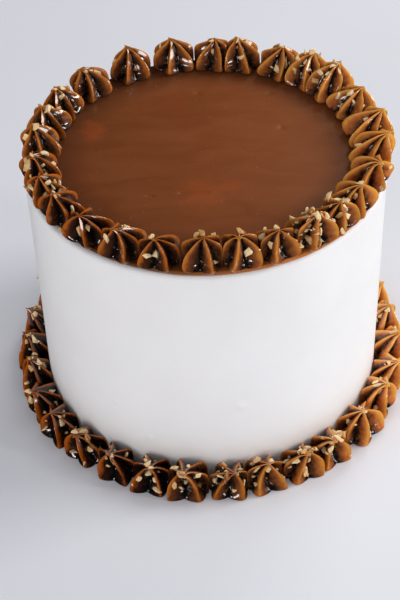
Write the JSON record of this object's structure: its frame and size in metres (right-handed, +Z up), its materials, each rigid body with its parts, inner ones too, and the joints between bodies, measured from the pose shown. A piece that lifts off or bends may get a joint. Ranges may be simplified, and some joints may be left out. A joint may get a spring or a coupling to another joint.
{
  "type": "wedding cake",
  "caption": "Round one-tier iced cake with a poured caramel top and rings of piped caramel stars with chopped nuts round its top and its foot.",
  "frame": {"origin": "centre of the cake's flat underside", "axes": "+Z up along the cake's axis, -Y towards the side that the picture shows"},
  "size_m": [0.1813, 0.1816, 0.1328],
  "materials": {
    "white_icing": "smooth white buttercream, matte",
    "poured_caramel": "poured caramel, satin brown",
    "piped_caramel": "piped caramel, glossy brown, with chopped nuts"
  },
  "bodies": {
    "root": {"cake_body": "white_icing", "caramel_top": "poured_caramel", "top_star_01": "piped_caramel", "top_star_02": "piped_caramel", "top_star_03": "piped_caramel", "top_star_04": "piped_caramel", "top_star_05": "piped_caramel", "top_star_06": "piped_caramel", "top_star_07": "piped_caramel", "top_star_08": "piped_caramel", "top_star_09": "piped_caramel", "top_star_10": "piped_caramel", "top_star_11": "piped_caramel", "top_star_12": "piped_caramel", "top_star_13": "piped_caramel", "top_star_14": "piped_caramel", "top_star_15": "piped_caramel", "top_star_16": "piped_caramel", "top_star_17": "piped_caramel", "top_star_18": "piped_caramel", "top_star_19": "piped_caramel", "top_star_20": "piped_caramel", "top_star_21": "piped_caramel", "top_star_22": "piped_caramel", "top_star_23": "piped_caramel", "top_star_24": "piped_caramel", "top_star_25": "piped_caramel", "top_star_26": "piped_caramel", "top_star_27": "piped_caramel", "base_star_01": "piped_caramel", "base_star_02": "piped_caramel", "base_star_03": "piped_caramel", "base_star_04": "piped_caramel", "base_star_05": "piped_caramel", "base_star_06": "piped_caramel", "base_star_07": "piped_caramel", "base_star_08": "piped_caramel", "base_star_09": "piped_caramel", "base_star_10": "piped_caramel", "base_star_11": "piped_caramel", "base_star_12": "piped_caramel", "base_star_13": "piped_caramel", "base_star_14": "piped_caramel", "base_star_15": "piped_caramel", "base_star_16": "piped_caramel", "base_star_17": "piped_caramel", "base_star_18": "piped_caramel", "base_star_19": "piped_caramel", "base_star_20": "piped_caramel", "base_star_21": "piped_caramel", "base_star_22": "piped_caramel", "base_star_23": "piped_caramel", "base_star_24": "piped_caramel", "base_star_25": "piped_caramel", "base_star_26": "piped_caramel", "base_star_27": "piped_caramel", "base_star_28": "piped_caramel", "base_star_29": "piped_caramel", "base_star_30": "piped_caramel"}
  },
  "joints": []
}
